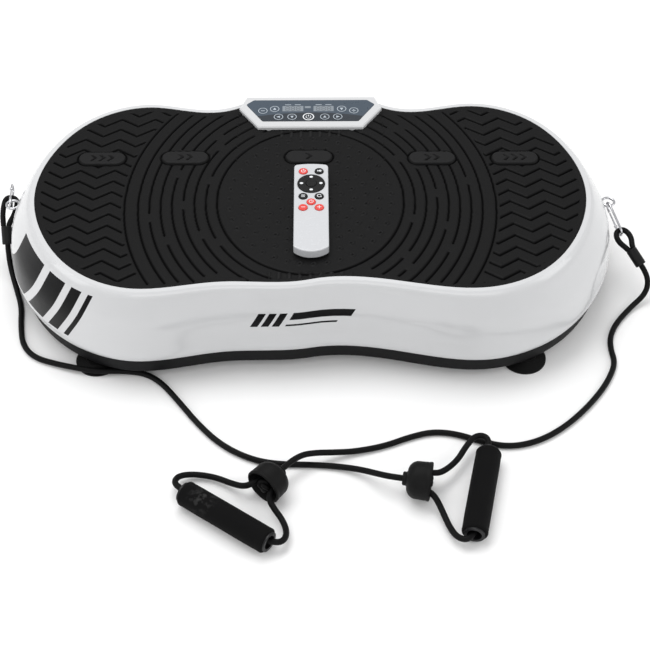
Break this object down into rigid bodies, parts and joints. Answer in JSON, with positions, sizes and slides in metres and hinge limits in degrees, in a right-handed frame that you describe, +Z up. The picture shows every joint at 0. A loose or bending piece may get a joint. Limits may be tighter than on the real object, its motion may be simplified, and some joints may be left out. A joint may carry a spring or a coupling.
{
  "type": "vibration plate",
  "caption": "Low oval vibration plate with a grooved mat, a rear control panel, a remote control, and elastic pull cords with foam handles clipped to its ends.",
  "frame": {"origin": "on the floor under the middle of the plate", "axes": "+X to the right along the plate, +Y to the side with the control panel, +Z up"},
  "size_m": [0.8444, 0.6662, 0.1487],
  "materials": {
    "shell_white": "white moulded shell, satin gloss",
    "mat_rubber": "black grooved rubber mat",
    "overlay_film": "dark blue grey control film",
    "window_tint": "dark tinted display window",
    "board_green": "green circuit board",
    "frame_steel": "black painted steel",
    "bright_steel": "bright steel",
    "bush_nylon": "natural nylon",
    "pan_black": "black moulded plastic",
    "foot_rubber": "black rubber",
    "motor_paint": "grey painted motor case",
    "pulley_aluminium": "machined aluminium",
    "belt_rubber": "black belt",
    "rocker_red": "red rocker",
    "hook_chrome": "bright chrome",
    "ferrule_black": "black crimped sleeve",
    "cord_black": "black covered elastic cord",
    "tube_black": "black plastic tube",
    "foam_black": "soft black foam",
    "remote_white": "silver white plastic",
    "key_red": "red soft key",
    "key_black": "black soft key"
  },
  "bodies": {
    "base": {"base_pan": "pan_black", "base_plate": "frame_steel", "crank_bearings": "frame_steel", "drive_belt": "belt_rubber", "eye_bolts": "hook_chrome", "eye_brackets": "frame_steel", "ferrules": "ferrule_black", "foot_screws": "bright_steel", "left_bell": "foot_rubber", "left_cord": "cord_black", "left_eye_loop": "cord_black", "left_loop_cord": "cord_black", "left_snap_hook": "hook_chrome", "motor_bracket": "frame_steel", "motor_housing": "motor_paint", "pivot_shaft": "bright_steel", "pivot_stands": "frame_steel", "power_board": "board_green", "power_inlet": "pan_black", "right_bell": "foot_rubber", "right_cord": "cord_black", "right_eye_loop": "cord_black", "right_loop_cord": "cord_black", "right_snap_hook": "hook_chrome", "rubber_feet": "foot_rubber", "switch_frame": "pan_black"},
    "deck": {"upper_shell": "shell_white", "rubber_mat": "mat_rubber", "panel_overlay": "overlay_film", "display_windows": "window_tint", "panel_board": "board_green", "deck_frame": "frame_steel", "deck_bushes": "bush_nylon", "rod_pin": "bright_steel", "deck_screws": "bright_steel"},
    "rod": {"connecting_rod": "frame_steel"},
    "crank": {"crank_shaft": "bright_steel", "driven_pulley": "pulley_aluminium"},
    "rotor": {"motor_rotor": "bright_steel", "motor_pulley": "pulley_aluminium"},
    "rocker": {"power_rocker": "rocker_red"},
    "right_gate": {"right_hook_gate": "hook_chrome"},
    "left_gate": {"left_hook_gate": "hook_chrome"},
    "left_handle": {"left_grip_tube": "tube_black", "left_foam_grip": "foam_black"},
    "right_handle": {"right_grip_tube": "tube_black", "right_foam_grip": "foam_black"},
    "remote": {"remote_bottom": "remote_white", "remote_top": "remote_white", "remote_board": "board_green", "remote_battery": "bright_steel"},
    "key_auto": {"remote_key_auto": "key_black"},
    "key_fast": {"remote_key_fast": "key_red"},
    "key_mode": {"remote_key_mode": "key_black"},
    "key_mute": {"remote_key_mute": "key_black"},
    "key_power": {"remote_key_power": "key_red"},
    "key_slow": {"remote_key_slow": "key_red"},
    "key_timer": {"remote_key_timer": "key_red"},
    "pad": {"remote_pad": "key_black"},
    "pad_centre": {"remote_pad_centre": "key_black"}
  },
  "joints": [
    {"name": "deck_rock", "type": "hinge", "parent": "base", "child": "deck", "pos_m": [0, 0, 0.1], "axis": [0, 1, 0], "range_deg": [-1, 1]},
    {"name": "rod_swing", "type": "hinge", "parent": "deck", "child": "rod", "pos_m": [0.15, 0, 0.104], "axis": [0, 1, 0], "range_deg": [-3.2, 3.2]},
    {"name": "crank_spin", "type": "hinge", "parent": "base", "child": "crank", "pos_m": [0.15, 0, 0.056], "axis": [0, 1, 0], "continuous": true},
    {"name": "motor_spin", "type": "hinge", "parent": "base", "child": "rotor", "pos_m": [0.245, 0, 0.056], "axis": [0, 1, 0], "continuous": true},
    {"name": "power_rocker_tilt", "type": "hinge", "parent": "base", "child": "rocker", "pos_m": [0.03, 0.187, 0.0245], "axis": [0, 0, 1], "range_deg": [0, 16]},
    {"name": "right_gate_hinge", "type": "hinge", "parent": "base", "child": "right_gate", "pos_m": [0.39712, 0.0142, 0.06138], "axis": [0.9441, 0.2963, 0.1443], "range_deg": [0, 20]},
    {"name": "left_gate_hinge", "type": "hinge", "parent": "base", "child": "left_gate", "pos_m": [-0.39423, 0.06784, 0.08241], "axis": [0.9948, 0.1005, -0.0145], "range_deg": [0, 10]},
    {"name": "left_grip_spin", "type": "hinge", "parent": "base", "child": "left_handle", "pos_m": [-0.1455, -0.38, 0.015], "axis": [0.8179, -0.5753, 0], "continuous": true},
    {"name": "right_grip_spin", "type": "hinge", "parent": "base", "child": "right_handle", "pos_m": [0.207, -0.323, 0.015], "axis": [-0.2205, -0.9754, 0], "continuous": true},
    {"name": "remote_lift", "type": "slide", "parent": "deck", "child": "remote", "axis": [0, 0, 1], "range_m": [0, 0.12]},
    {"name": "key_auto_press", "type": "slide", "parent": "remote", "child": "key_auto", "axis": [0, 0, -1], "range_m": [0, 0.0008]},
    {"name": "key_fast_press", "type": "slide", "parent": "remote", "child": "key_fast", "axis": [0, 0, -1], "range_m": [0, 0.0008]},
    {"name": "key_mode_press", "type": "slide", "parent": "remote", "child": "key_mode", "axis": [0, 0, -1], "range_m": [0, 0.0008]},
    {"name": "key_mute_press", "type": "slide", "parent": "remote", "child": "key_mute", "axis": [0, 0, -1], "range_m": [0, 0.0008]},
    {"name": "key_power_press", "type": "slide", "parent": "remote", "child": "key_power", "axis": [0, 0, -1], "range_m": [0, 0.0008]},
    {"name": "key_slow_press", "type": "slide", "parent": "remote", "child": "key_slow", "axis": [0, 0, -1], "range_m": [0, 0.0008]},
    {"name": "key_timer_press", "type": "slide", "parent": "remote", "child": "key_timer", "axis": [0, 0, -1], "range_m": [0, 0.0008]},
    {"name": "pad_press", "type": "slide", "parent": "remote", "child": "pad", "axis": [0, 0, -1], "range_m": [0, 0.0008]},
    {"name": "pad_centre_press", "type": "slide", "parent": "remote", "child": "pad_centre", "axis": [0, 0, -1], "range_m": [0, 0.0008]}
  ],
  "couplings": [
    {"joint": "motor_spin", "follows": "crank_spin", "ratio": 2.3636}
  ]
}
